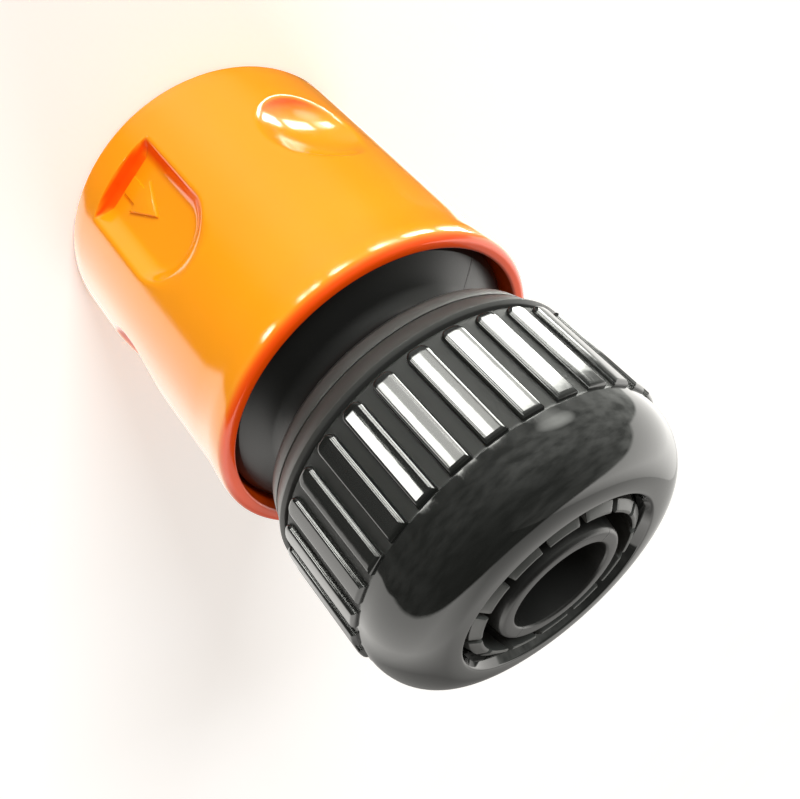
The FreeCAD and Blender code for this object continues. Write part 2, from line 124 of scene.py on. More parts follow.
# Clamp nut
NUT_BACK, NUT_FRONT, NUT_R, NUT_BORE_R = 41.45, 58.5, 16.0, 13.75
NUT_THREAD_R, NUT_SHOULDER, NUT_NOSE = 12.85, 52.3, 5.4
NUT_MOUTH_R, NUT_THROAT_R, NUT_THROAT, NUT_CONE_R, NUT_CONE = 10.1, 9.55, 57.1, 12.4, 50.6
NUT_BORE_STEP, NUT_THREAD_START, NUT_THREAD_TURNS, NUT_THREAD_AZIMUTH = 0.7, 42.3, 1.5, 120
RIB_COUNT, RIB_PHASE, RIB_WIDTH, RIB_HIGH, RIB_LOW_Z = 30, -19.8, 2.1, 0.5, 41.9
RIB_SUNK, RIB_END_ROUND, RIB_TOP_ROUND = 0.3, 0.8, 0.35
RIB_LONG_CUTS = (-0.65, -0.45, -0.2, 0.0, 0.2, 0.45, 0.65)
RIB_BACK_CUTS, RIB_FRONT_CUTS = (0.85, 1.0), (0.5, 0.4)


def mm_point(x, y, z):
    return Vector((x, y, z)) * MM


def on_side(azimuth):
    """Turns what was made on the -Y side to an azimuth."""
    return Matrix.Rotation(math.radians(azimuth), 3, "Z")


def draw_profile(bm, corners):
    """Closed wire in the XZ plane through corners (radius, height[, rounding[, arc steps]]) in
    millimetres."""
    spots = [mm_point(corner[0], 0, corner[1]) for corner in corners]
    verts = [bm.verts.new(spot) for spot in spots]
    count = len(verts)
    for i in range(count):
        bm.edges.new((verts[i], verts[(i + 1) % count]))
    for i, corner in enumerate(corners):
        if len(corner) < 3:
            continue
        back = spots[i - 1] - spots[i]
        ahead = spots[(i + 1) % count] - spots[i]
        reach = corner[2] * MM / math.tan(back.angle(ahead) / 2)
        steps = corner[3] if len(corner) > 3 else 4
        bmesh.ops.bevel(bm, geom=[verts[i]], offset=reach, offset_type="OFFSET", segments=steps,
                        profile=0.5, affect="VERTICES", material=-1)


def cut_upright(bm, radius, heights):
    """Cuts the upright wire edge at a radius at several heights."""
    for z in heights:
        near = [edge for edge in bm.edges
                if all(abs(vert.co.x - radius * MM) < SAME_SPOT for vert in edge.verts)]
        ends = list(dict.fromkeys(vert for edge in near for vert in edge.verts))
        bmesh.ops.bisect_plane(bm, geom=near + ends, dist=SAME_SPOT,
                               plane_co=mm_point(0, 0, z), plane_no=UP)


def spread(first, step, count):
    return [first + step * i for i in range(count)]


def spin_round(bm, steps):
    """Spins a closed wire once round the axis."""
    bmesh.ops.spin(bm, geom=bm.verts[:] + bm.edges[:], cent=ORIGIN, axis=UP, dvec=ORIGIN,
                   angle=TURN, steps=steps, use_merge=True)


def lathe(corners, steps=144):
    bm = bmesh.new()
    draw_profile(bm, corners)
    spin_round(bm, steps)
    return bm


def add_copies(bm, part, azimuths):
    """Adds copies of a part, made on the -Y side, at several azimuths, and frees it."""
    mesh = bpy.data.meshes.new("copy")
    bmesh.ops.recalc_face_normals(part, faces=part.faces)
    part.to_mesh(mesh)
    part.free()
    for azimuth in azimuths:
        before = set(bm.verts)
        bm.from_mesh(mesh)
        added = [vert for vert in bm.verts if vert not in before]
        bmesh.ops.rotate(bm, cent=ORIGIN, matrix=on_side(azimuth), verts=added)
    bpy.data.meshes.remove(mesh)


def cut_by_plane(bm, place, away):
    """Cuts off what lies on the away side of a plane, and closes the cut."""
    geom = bm.verts[:] + bm.edges[:] + bm.faces[:]
    made = bmesh.ops.bisect_plane(bm, geom=geom, dist=SAME_SPOT, plane_co=place, plane_no=away,
                                  clear_outer=True, clear_inner=False)
    rim = [item for item in made["geom_cut"] if isinstance(item, bmesh.types.BMEdge)]
    bmesh.ops.holes_fill(bm, edges=rim, sides=0)


def bevel_edges(bm, edges, width, steps=2):
    bmesh.ops.bevel(bm, geom=edges, offset=width * MM, offset_type="OFFSET", segments=steps,
                    profile=0.5, affect="EDGES", material=-1, clamp_overlap=True)


def helix_ridge(root_r, tip_r, start, turns, azimuth):
    """Thread ridge of trapezoid section that climbs one pitch a turn."""
    bm = bmesh.new()
    draw_profile(bm, [
        (root_r, start - THREAD_HALF_ROOT),
        (tip_r, start - THREAD_HALF_TIP, THREAD_ROUND, 2),
        (tip_r, start + THREAD_HALF_TIP, THREAD_ROUND, 2),
        (root_r, start + THREAD_HALF_ROOT),
    ])
    bmesh.ops.contextual_create(bm, geom=bm.edges[:])
    steps = int(turns * 96)
    bmesh.ops.spin(bm, geom=bm.faces[:], cent=ORIGIN, axis=UP,
                   dvec=UP * (THREAD_PITCH * turns * MM / steps),
                   angle=TURN * turns, steps=steps, use_merge=False)
    bmesh.ops.rotate(bm, cent=ORIGIN, matrix=on_side(azimuth), verts=bm.verts)
    return bm


def finish_piece(name, bm, body, finish, crease=32, replaces=()):
    """Makes the mesh an object that rides on a body and stands for CAD nodes."""
    bmesh.ops.remove_doubles(bm, verts=bm.verts, dist=SAME_SPOT)
    bmesh.ops.recalc_face_normals(bm, faces=bm.faces)
    for face in bm.faces:
        face.smooth = True
    for edge in bm.edges:
        edge.smooth = edge.calc_face_angle(0) < math.radians(crease)
    mesh = bpy.data.meshes.new(name)
    bm.to_mesh(mesh)
    bm.free()
    piece = bpy.data.objects.new(name, mesh)
    bpy.context.scene.collection.objects.link(piece)
    mesh.materials.append(finish)
    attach(piece, body)
    if replaces:
        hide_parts(*replaces)
    return piece


# Materials

# Sockets of a mix node that mixes colours: its two colours, and what comes out
MIX_A, MIX_B, MIX_OUT = 6, 7, 2


def linear(hex_colour):
    """Linear colour from an sRGB hex value."""
    parts = [int(hex_colour[i:i + 2], 16) / 255 for i in (1, 3, 5)]
    return [c / 12.92 if c <= 0.04045 else ((c + 0.055) / 1.055) ** 2.4 for c in parts] + [1.0]


def add_node(tree, kind, links=(), values=None, **settings):
    """Adds a node. links are (own socket, other node, its socket), values are socket values and
    settings are properties."""
    node = tree.nodes.new(kind)
    for key, value in settings.items():
        setattr(node, key, value)
    for key, value in (values or {}).items():
        node.inputs[key].default_value = value
    for own, other, theirs in links:
        tree.links.new(other.outputs[theirs], node.inputs[own])
    return node


def start_material(name):
    material = bpy.data.materials.new(name)
    material.use_nodes = True
    tree = material.node_tree
    tree.nodes.clear()
    place = add_node(tree, "ShaderNodeTexCoord")
    return material, tree, place


def per_mm(length):
    """Noise scale at which one bump is about so many millimetres long."""
    return 1 / (length * MM)


def finish_material(tree, tone, rough, relief, depth, **settings):
    """Principled shader from a tone, a roughness and a relief (node, socket) that is so many
    millimetres deep, joined to the output."""
    bump = add_node(tree, "ShaderNodeBump", [("Height", *relief)],
                    {"Strength": 1.0, "Distance": depth * MM})
    shader = add_node(tree, "ShaderNodeBsdfPrincipled", [
        ("Base Color", tone, MIX_OUT), ("Roughness", rough, 0), ("Normal", bump, "Normal")],
        values={key.replace("_", " "): value for key, value in settings.items()})
    add_node(tree, "ShaderNodeOutputMaterial", [("Surface", shader, "BSDF")])


def make_orange():
    """Injection moulded glossy ABS: slow flow clouds tint it, a faint orange peel bends its
    reflections and hairlines from handling, drawn coarser than they are, dull the gloss in short
    streaks. Inside, on the lip's face and on the steep recess walls that the light misses, a
    deeper red is painted in as painted shade."""
    material, tree, place = start_material("injection_moulded_gloss_abs_orange")
    cloud = add_node(tree, "ShaderNodeTexNoise", [("Vector", place, "Object")],
                     {"Scale": per_mm(14), "Detail": 2.0})
    skin = add_node(tree, "ShaderNodeMix", [("Factor", cloud, "Fac")],
                    {MIX_A: linear("#fe990c"), MIX_B: linear("#ffa110")}, data_type="RGBA")
    # Painted shade: the deep attribute mixes in a deeper red inside, on the lip's face and on steep
    # recess walls
    deep = add_node(tree, "ShaderNodeAttribute", attribute_name="deep")
    tone = add_node(tree, "ShaderNodeMix", [("Factor", deep, "Fac"), (MIX_A, skin, MIX_OUT)],
                    {MIX_B: linear("#fd5206")}, data_type="RGBA")
    streak_place = add_node(tree, "ShaderNodeMapping", [("Vector", place, "Object")],
                            {"Rotation": (0.5, 0.2, 0.3), "Scale": (1.0, 1.0, 0.06)})
    streaks = add_node(tree, "ShaderNodeTexNoise", [("Vector", streak_place, "Vector")],
                       {"Scale": per_mm(0.25), "Detail": 1.0})
    rough = add_node(tree, "ShaderNodeMapRange", [("Value", streaks, "Fac")],
                     {"From Min": 0.62, "From Max": 0.74, "To Min": 0.13, "To Max": 0.22})
    peel = add_node(tree, "ShaderNodeTexNoise", [("Vector", place, "Object")],
                    {"Scale": per_mm(2.2), "Detail": 1.0})
    finish_material(tree, tone, rough, (peel, "Fac"), 0.004, IOR=1.5)
    return material


def make_black():
    """Injection moulded polished nylon: near black, mirror-like, with a slow waviness from
    shrinkage and hairlines, drawn coarser than they are, that make the light streaks on the ribs
    look worn in. The grooves between the ribs keep the mould's matt texture, so they stay dark
    beside the bright ribs."""
    material, tree, place = start_material("injection_moulded_polished_nylon_black")
    cloud = add_node(tree, "ShaderNodeTexNoise", [("Vector", place, "Object")],
                     {"Scale": per_mm(9), "Detail": 2.0})
    tone = add_node(tree, "ShaderNodeMix", [("Factor", cloud, "Fac")],
                    {MIX_A: linear("#151615"), MIX_B: linear("#1b1c1a")}, data_type="RGBA")
    streak_place = add_node(tree, "ShaderNodeMapping", [("Vector", place, "Object")],
                            {"Rotation": (0.1, 0.3, 0.0), "Scale": (1.0, 1.0, 0.08)})
    streaks = add_node(tree, "ShaderNodeTexNoise", [("Vector", streak_place, "Vector")],
                       {"Scale": per_mm(0.22), "Detail": 1.0})
    gloss = add_node(tree, "ShaderNodeMapRange", [("Value", streaks, "Fac")],
                     {"From Min": 0.6, "From Max": 0.8, "To Min": 0.05, "To Max": 0.12})
    spot = add_node(tree, "ShaderNodeSeparateXYZ", [("Vector", place, "Object")])
    flat_place = add_node(tree, "ShaderNodeCombineXYZ", [("X", spot, "X"), ("Y", spot, "Y")])
    radius = add_node(tree, "ShaderNodeVectorMath", [(0, flat_place, "Vector")], operation="LENGTH")
    sunk = add_node(tree, "ShaderNodeMapRange", [("Value", radius, "Value")],
                    {"From Min": (NUT_R + 0.05) * MM, "From Max": (NUT_R + 0.3) * MM,
                     "To Min": 1.0, "To Max": 0.0})
    ribbed = add_node(tree, "ShaderNodeMapRange", [("Value", spot, "Z")],
                      {"From Min": (NUT_SHOULDER - 0.1) * MM, "From Max": (NUT_SHOULDER + 0.2) * MM,
                       "To Min": 0.55, "To Max": 0.0})
    rough = add_node(tree, "ShaderNodeMath", [
        (0, sunk, "Result"), (1, ribbed, "Result"), (2, gloss, "Result")], operation="MULTIPLY_ADD")
    wave = add_node(tree, "ShaderNodeTexNoise", [("Vector", place, "Object")],
                    {"Scale": per_mm(1.6), "Detail": 2.0})
    finish_material(tree, tone, rough, (wave, "Fac"), 0.004, IOR=1.5)
    return material


def make_body_black():
    """Moulded glass-filled nylon: satin black from a spark-eroded mould, whose fine grain breaks up
    the light, coarser on the collar and painted lighter grey there as a painted sheen, with the
    mould's parting line along both sides."""
    material, tree, place = start_material("spark_eroded_glass_filled_nylon_black")
    spot = add_node(tree, "ShaderNodeSeparateXYZ", [("Vector", place, "Object")])
    collar = add_node(tree, "ShaderNodeMapRange", [("Value", spot, "Z")],
                      {"From Min": (COLLAR_FRONT - 0.3) * MM, "From Max": (COLLAR_FRONT + 0.5) * MM})
    above = add_node(tree, "ShaderNodeMapRange", [("Value", spot, "Z")],
                     {"From Min": COLLAR_BACK * MM, "From Max": (COLLAR_BACK + 0.2) * MM,
                      "To Min": 1.0, "To Max": 0.0})
    painted_sheen_band = add_node(tree, "ShaderNodeMath", [(0, collar, "Result"), (1, above, "Result")],
                    operation="MULTIPLY")
    grain = add_node(tree, "ShaderNodeTexNoise", [("Vector", place, "Object")],
                     {"Scale": per_mm(0.16), "Detail": 2.0})
    plain = add_node(tree, "ShaderNodeMix", [("Factor", grain, "Fac")],
                     {MIX_A: linear("#121211"), MIX_B: linear("#1a1a19")}, data_type="RGBA")
    # Painted sheen: the collar band is painted lighter grey than the rest of the body
    tone = add_node(tree, "ShaderNodeMix", [("Factor", painted_sheen_band, "Value"), (MIX_A, plain, MIX_OUT)],
                    {MIX_B: linear("#3c3c3a")}, data_type="RGBA")
    rough = add_node(tree, "ShaderNodeMapRange", [("Value", painted_sheen_band, "Value")],
                     {"To Min": 0.34, "To Max": 0.42})
    side = add_node(tree, "ShaderNodeMath", [(0, spot, "Y")], operation="ABSOLUTE")
    parting = add_node(tree, "ShaderNodeMapRange", [("Value", side, "Value")],
                       {"From Min": 0.03 * MM, "From Max": 0.09 * MM, "To Min": 1.0, "To Max": 0.0})
    relief = add_node(tree, "ShaderNodeMath", [(0, grain, "Fac"), (2, parting, "Result")], {1: 0.2},
                      operation="MULTIPLY_ADD")
    finish_material(tree, tone, rough, (relief, "Value"), 0.025, IOR=1.42)
    return material


def make_finger_grey():
    """Moulded acetal: waxy dark grey, with faint rings from the mould's turned core across the
    fingers."""
    material, tree, place = start_material("moulded_acetal_dark_grey")
    cloud = add_node(tree, "ShaderNodeTexNoise", [("Vector", place, "Object")],
                     {"Scale": per_mm(1.2), "Detail": 3.0})
    tone = add_node(tree, "ShaderNodeMix", [("Factor", cloud, "Fac")],
                    {MIX_A: linear("#2f302e"), MIX_B: linear("#40413f")}, data_type="RGBA")
    rough = add_node(tree, "ShaderNodeMapRange", [("Value", cloud, "Fac")],
                     {"To Min": 0.3, "To Max": 0.46})
    ring_place = add_node(tree, "ShaderNodeMapping", [("Vector", place, "Object")],
                          {"Scale": (0.05, 0.05, 1.0)})
    rings = add_node(tree, "ShaderNodeTexNoise", [("Vector", ring_place, "Vector")],
                     {"Scale": per_mm(0.2), "Detail": 1.0})
    finish_material(tree, tone, rough, (rings, "Fac"), 0.01, IOR=1.48)
    return material


def make_claw_white():
    """Natural acetal: milky white, a little light under its skin, with a silky gloss."""
    material, tree, place = start_material("moulded_natural_acetal")
    cloud = add_node(tree, "ShaderNodeTexNoise", [("Vector", place, "Object")],
                     {"Scale": per_mm(1.5), "Detail": 2.0})
    tone = add_node(tree, "ShaderNodeMix", [("Factor", cloud, "Fac")],
                    {MIX_A: linear("#dcdacf"), MIX_B: linear("#e6e4da")}, data_type="RGBA")
    rough = add_node(tree, "ShaderNodeMapRange", [("Value", cloud, "Fac")],
                     {"To Min": 0.28, "To Max": 0.4})
    fine = add_node(tree, "ShaderNodeTexNoise", [("Vector", place, "Object")],
                    {"Scale": per_mm(0.3), "Detail": 1.0})
    finish_material(tree, tone, rough, (fine, "Fac"), 0.004, IOR=1.48, Subsurface_Weight=0.15,
                    Subsurface_Scale=1.5 * MM)
    return material


def make_steel():
    """Cold drawn stainless spring wire: grey metal with fine draw lines round the coil."""
    material, tree, place = start_material("cold_drawn_stainless_spring_wire")
    line_place = add_node(tree, "ShaderNodeMapping", [("Vector", place, "Object")],
                          {"Scale": (0.1, 0.1, 1.0)})
    lines = add_node(tree, "ShaderNodeTexNoise", [("Vector", line_place, "Vector")],
                     {"Scale": per_mm(0.06), "Detail": 2.0})
    tone = add_node(tree, "ShaderNodeMix", [("Factor", lines, "Fac")],
                    {MIX_A: linear("#8f8f90"), MIX_B: linear("#b0b0b2")}, data_type="RGBA")
    rough = add_node(tree, "ShaderNodeMapRange", [("Value", lines, "Fac")],
                     {"To Min": 0.18, "To Max": 0.34})
    finish_material(tree, tone, rough, (lines, "Fac"), 0.004, Metallic=1.0)
    return material


orange = make_orange()
black = make_black()
body_black = make_body_black()
finger_grey = make_finger_grey()
claw_white = make_claw_white()
steel = make_steel()


# Sleeve

def smooth_max(a, b, soft):
    """The larger of two heights, blended where they differ by less than soft."""
    blend = max(0.0, 1.0 - abs(a - b) / soft)
    return max(a, b) + blend * blend * soft / 4


def smooth_min(a, b, soft):
    return -smooth_max(-a, -b, soft)


def ease(value, low, high):
    """Rises smoothly from 0 at low to 1 at high."""
    share = min(max((value - low) / (high - low), 0.0), 1.0)
    return share * share * (3 - 2 * share)


def arrow_recess(x, z):
    """Height of the arrow recess over its flat floor, and how soft its rim is: a steep socket end,
    sloping sides that meet in a round hose end, and a rim that softens towards the hose."""
    rim = math.sqrt(SLEEVE_R ** 2 - ARROW_HALF ** 2) - RECESS_FLOOR
    climb = 1 / math.tan(math.radians(ARROW_SIDE_LEAN))
    stretch = (ARROW_HALF + (RECESS_DEPTH - rim) / climb) / ARROW_ROUND
    out = math.hypot(x, stretch * max(0.0, z - ARROW_HIGH + ARROW_ROUND))
    side = rim + (out - ARROW_HALF) * climb
    low = RECESS_DEPTH + (ARROW_LOW - z) / math.tan(math.radians(ARROW_END_LEAN))
    height = smooth_max(smooth_max(side, 0, ARROW_SIDE_SOFT), low, ARROW_END_SOFT)
    return height, CRISP_RIM + ease(z, ARROW_HIGH - 2.5, ARROW_HIGH + 0.5)


def dimple(x, z):
    """Height of the oval dimple over its deepest plane, and how soft its rim is: crisp at the
    socket end and on the far side, softer towards the hose and the near arrow."""
    across = 2 * x / DIMPLE_WIDE
    along = (z - DIMPLE_LOW - DIMPLE_LONG / 2) * 2 / DIMPLE_LONG
    left = 1 - across ** 2 - along ** 2
    deep = RECESS_DEPTH + DIMPLE_OUT
    height = deep - deep * math.sqrt(left) if left > 0 else deep - left * 4
    return height, CRISP_RIM + 1.1 * ease(0.8 * across + 0.6 * along, -0.5, 1.0)


def sink_recesses(bm):
    """Sinks the six finger recesses into the outer wall and bulges the inner wall behind them.
    Writes painted shade into the tone: inside, on the lip's face and on steep recess walls."""
    deep = bm.verts.layers.float.new("deep")
    for vert in bm.verts:
        radius = math.hypot(vert.co.x, vert.co.y) / MM
        # Painted shade on the lip's face, and full painted shade inside
        painted_lip_shade = ease(vert.co.z / MM, SLEEVE_LIP - 0.9, SLEEVE_LIP - 0.1)
        vert[deep] = 1.0 if radius < SLEEVE_IN_R + 2 * WALL_SLACK else painted_lip_shade
    places = [(arrow_recess, azimuth, 1) for azimuth in ARROW_AZIMUTHS]
    places += [(dimple, azimuth, -1 if azimuth % 180 < 90 else 1) for azimuth in DIMPLE_AZIMUTHS]
    for recess, azimuth, facing in places:
        to_side, back = on_side(-azimuth), on_side(azimuth)
        for vert in bm.verts:
            spot = to_side @ vert.co
            x, out, z = spot.x / MM, -spot.y / MM, spot.z / MM
            if out < TUBE_R or not RECESS_BOTTOM < z < RECESS_TOP:
                continue
            radius = math.hypot(x, out)
            height, soft = recess(x * facing, z)
            if radius > SLEEVE_R - WALL_SLACK:
                new_out = smooth_min(out, RECESS_FLOOR + height, soft)
            elif INNER_FLOOR < radius < SLEEVE_IN_R + WALL_SLACK and z > WEB_HIGH - WALL_SLACK:
                new_out = smooth_min(out, INNER_FLOOR + height, soft)
            else:
                continue
            if new_out < out - LEAST_SINK:
                spot.y = -new_out * MM
                vert.co = back @ spot
                along = max(recess(x * facing, z - SLOPE_STEP)[0] - height, 0)
                across = 0
                if recess is arrow_recess:
                    across = max(recess(x * facing - SLOPE_STEP, z)[0] - height, 0)
                slope = math.hypot(across, along) / SLOPE_STEP
                # Painted shade on the steep recess walls that the light misses
                vert[deep] = ease(out - new_out, 0.0, 0.3) * ease(slope, 0.15, 0.9)


def make_arrow():
    """Raised arrow on the floor of the arrow recess, pointing to the hose."""
    bm = bmesh.new()
    half = [(MARK_SHAFT_HALF, MARK_LOW), (MARK_SHAFT_HALF, MARK_NECK), (MARK_HEAD_HALF, MARK_NECK),
            (0, MARK_TIP)]
    points = half + [(-x, z) for x, z in reversed(half[:3])]
    verts = [bm.verts.new(mm_point(x, MARK_SUNK - RECESS_FLOOR, z)) for x, z in points]
    face = bm.faces.new(verts)
    made = bmesh.ops.extrude_face_region(bm, geom=[face])
    top = [item for item in made["geom"] if isinstance(item, bmesh.types.BMVert)]
    bmesh.ops.translate(bm, vec=mm_point(0, -MARK_SUNK - MARK_HIGH, 0), verts=top)
    rim = [edge for edge in bm.edges if all(vert in top for vert in edge.verts)]
    bevel_edges(bm, rim, MARK_ROUND, 3)
    return bm


def make_sleeve():
    bm = bmesh.new()
    draw_profile(bm, [
        (COUNTER_R, SLEEVE_LOW, 0.3, 2),
        (SLEEVE_R, SLEEVE_LOW, 0.5, 4),
        (SLEEVE_R, LIP_START, 20, 6),
        (LIP_R + LIP_SWELL, SLEEVE_LIP - LIP_LONG, 8, 8),
        (LIP_R - LIP_TUCK, SLEEVE_LIP, 0.8, 8),
        (SLEEVE_IN_R, SLEEVE_LIP, 0.3, 4),
        (SLEEVE_IN_R, WEB_HIGH, 0.6, 3),
        (GUIDE_R, WEB_HIGH),
        (GUIDE_R, WEB_LOW),
        (RAMP_HIGH_R, WEB_LOW),
        (RAMP_LOW_R, STOP_Z),
        (COUNTER_R, STOP_Z),
    ])
    cut_upright(bm, SLEEVE_R, spread(*OUTSIDE_CUTS) + spread(*STEEP_CUTS))
    cut_upright(bm, SLEEVE_IN_R, spread(*INSIDE_CUTS))
    spin_round(bm, 540)
    sink_recesses(bm)
    add_copies(bm, make_arrow(), ARROW_AZIMUTHS)
    finish_piece("sleeve_shell", bm, "sleeve", orange, 40, ["release_sleeve"])


# Body

def make_body():
    barbs = []
    for i in reversed(range(BARB_COUNT)):
        top = TAIL_TIP - TAIL_LEAD - i * BARB_PITCH
        foot = top - BARB_PITCH
        barbs += [(TAIL_R, foot), (BARB_R, foot, 0.06, 2), (BARB_R, foot + BARB_LAND), (TAIL_R, top)]
    bm = lathe([
        (SOCKET_R, WINDOW_TOP),
        (TUBE_R, WINDOW_TOP),
        (TUBE_R, FLANGE_FRONT, 0.3, 3),
        (FLANGE_R, FLANGE_FRONT, 0.3, 3),
        (FLANGE_R, FLANGE_BACK - FLANGE_CHAMFER, 0.25, 3),
        (FLANGE_R - FLANGE_CHAMFER, FLANGE_BACK, 0.2, 3),
        (NECK_R, NECK_LOW, 2.0, 10),
        (NECK_R, NECK_HIGH, 2.0, 10),
        (COLLAR_FRONT_R, COLLAR_FRONT, 0.9, 6),
        (COLLAR_LINE_R, COLLAR_LINE, 0.06, 2),
        (COLLAR_LINE_R - LINE_DEEP, COLLAR_LINE),
        (COLLAR_LINE_R - LINE_DEEP, COLLAR_LINE + LINE_WIDE),
        (COLLAR_LINE_R, COLLAR_LINE + LINE_WIDE, 0.05, 2),
        (COLLAR_R, COLLAR_BACK - COLLAR_CHAMFER, 0.15, 2),
        (COLLAR_R - COLLAR_CHAMFER, COLLAR_BACK, 0.15, 2),
        (THREAD_ROOT_R, COLLAR_BACK, 0.25, 3),
        (THREAD_ROOT_R, THREAD_END, 0.3, 3),
        (HOSE_SPACE_R, THREAD_END, 0.3, 3),
        (HOSE_SPACE_R, HOSE_SPACE_FLOOR, 0.8, 4),
        (TAIL_R, HOSE_SPACE_FLOOR, 0.8, 4),
    ] + barbs[:-1] + [
        (TAIL_R, TAIL_TIP, 0.5, 5),
        (TAIL_BORE_R, TAIL_TIP, 0.25, 3),
        (TAIL_BORE_R, COLLAR_BACK),
        (WATER_R, COLLAR_BACK - WATER_TAPER),
        (WATER_R, SEAL_END),
        (SEAL_R, SEAL_END, 0.3, 3),
        (SEAL_R, SEAL_START),
        (SOCKET_R, SOCKET_END),
    ], 192)
    root_r = THREAD_ROOT_R - THREAD_SUNK
    add_copies(bm, helix_ridge(root_r, THREAD_TIP_R, THREAD_START, THREAD_TURNS, 0), [0])
    finish_piece("body_moulding", bm, "root", body_black, 32, ["main_body"])


def make_socket_front():
    """Front of the socket tube with the four windows for the claws."""
    bm = lathe([
        (SOCKET_R, RING_TOP),
        (TUBE_R, RING_TOP),
        (TUBE_R, WINDOW_TOP),
        (SOCKET_R, WINDOW_TOP),
    ], 144)
    tube = finish_piece("socket_front", bm, "root", body_black, 32)
    cutter = bmesh.new()
    window = bmesh.new()
    bmesh.ops.create_cube(window, size=1.0)
    width = CLAW_WIDTH + 2 * CLAW_GAP
    tall = CLAW_HIGH - CLAW_LOW + 2 * CLAW_GAP
    middle = mm_point(0, -(TUBE_R + SOCKET_R) / 2, (CLAW_LOW + CLAW_HIGH) / 2)
    bmesh.ops.scale(window, vec=mm_point(width, WINDOW_CUT_DEEP, tall), verts=window.verts)
    bmesh.ops.translate(window, vec=middle, verts=window.verts)
    add_copies(cutter, window, CLAW_AZIMUTHS)
    mesh = bpy.data.meshes.new("window_cutter")
    cutter.to_mesh(mesh)
    cutter.free()
    tool = bpy.data.objects.new("window_cutter", mesh)
    bpy.context.scene.collection.objects.link(tool)
    cut = tube.modifiers.new("windows", "BOOLEAN")
    cut.object = tool
    cut.solver = "EXACT"
    bpy.context.view_layer.update()
    shaped = bpy.data.meshes.new_from_object(tube.evaluated_get(bpy.context.evaluated_depsgraph_get()))
    tube.modifiers.clear()
    tube.data = shaped
    bpy.data.objects.remove(tool)
    bpy.data.meshes.remove(mesh)


def make_front_ring():
    bm = lathe([
        (SOCKET_R, 0, 0.4, 4),
        (RING_R, 0, 0.4, 4),
        (RING_R, RING_TOP, 0.2, 3),
        (SKIRT_R, RING_TOP),
        (SKIRT_R, SKIRT_TOP, 0.2, 3),
        (SKIRT_IN_R, SKIRT_TOP),
        (SKIRT_IN_R, RING_TOP),
        (SOCKET_R, RING_TOP),
    ], 144)
    finish_piece("socket_ring", bm, "root", body_black, 32, ["front_ring"])


# Claws

def make_claw(number, azimuth):
    """Claw with a lead-in for the fitting's ridge and a head that leans as the sleeve's ramp does."""
    bm = bmesh.new()
    middle = (CLAW_LOW + CLAW_HIGH) / 2
    head_low, head_high = CLAW_LOW - CLAW_HEAD_LAP, CLAW_HIGH + CLAW_HEAD_LAP
    slope = CLAW_LIFT / SLEEVE_TRAVEL
    draw_profile(bm, [
        (CLAW_GRIP_R, CLAW_LOW + CLAW_LEAD_HIGH, 0.3, 3),
        (CLAW_GRIP_R + CLAW_LEAD_DEEP, CLAW_LOW, 0.1, 2),
        (TUBE_R + CLAW_GAP, CLAW_LOW),
        (TUBE_R + CLAW_GAP, head_low, 0.1, 2),
        (CLAW_HEAD_R + slope * (middle - head_low), head_low, 0.2, 3),
        (CLAW_HEAD_R + slope * (middle - head_high), head_high, 0.2, 3),
        (TUBE_R + CLAW_GAP, head_high, 0.1, 2),
        (TUBE_R + CLAW_GAP, CLAW_HIGH),
        (CLAW_GRIP_R, CLAW_HIGH, 0.12, 2),
    ])
    bmesh.ops.rotate(bm, cent=ORIGIN, matrix=on_side(-90 - CLAW_SWEEP / 2), verts=bm.verts)
    bmesh.ops.contextual_create(bm, geom=bm.edges[:])
    bmesh.ops.spin(bm, geom=bm.faces[:], cent=ORIGIN, axis=UP, dvec=ORIGIN,
                   angle=math.radians(CLAW_SWEEP), steps=28, use_merge=False)
    bmesh.ops.recalc_face_normals(bm, faces=bm.faces)
    half = CLAW_WIDTH / 2 * MM
    cut_by_plane(bm, Vector((half, 0, 0)), Vector((1, 0, 0)))
    cut_by_plane(bm, Vector((-half, 0, 0)), Vector((-1, 0, 0)))
    sides = [edge for edge in bm.edges if edge.calc_face_angle(0) > math.radians(50)
             and all(abs(abs(vert.co.x) - half) < SAME_PLANE for vert in edge.verts)]
    bevel_edges(bm, sides, 0.12, 2)
    bmesh.ops.rotate(bm, cent=ORIGIN, matrix=on_side(azimuth), verts=bm.verts)
    finish_piece("socket_claw_%d" % number, bm, "claw_%d" % number, claw_white, 32,
                 ["locking_claw_%d" % number])


# Spring

def make_spring():
    bm = bmesh.new()
    start = Matrix.Translation(mm_point(SPRING_R, 0, SPRING_LOW)) @ Matrix.Rotation(math.pi / 2, 4, "X")
    bmesh.ops.create_circle(bm, cap_ends=True, segments=14, radius=SPRING_WIRE / 2 * MM, matrix=start)
    closed = SPRING_WIRE + SPRING_END_GAP
    open_pitch = (SPRING_HIGH - SPRING_LOW - 2 * closed) / (SPRING_TURNS - 2)
    end = bm.faces[:]
    for turns, pitch in ((1, closed), (SPRING_TURNS - 2, open_pitch), (1, closed)):
        made = bmesh.ops.spin(bm, geom=end, cent=ORIGIN, axis=UP,
                              dvec=UP * (pitch * MM / SPRING_TURN_STEPS), angle=TURN * turns,
                              steps=SPRING_TURN_STEPS * turns, use_merge=False)
        end = [item for item in made["geom_last"] if isinstance(item, bmesh.types.BMFace)]
    coil = finish_piece("coil_spring", bm, "root", steel, 40, ["return_spring"])
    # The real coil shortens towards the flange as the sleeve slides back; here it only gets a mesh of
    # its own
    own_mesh(coil)


# Grip fingers

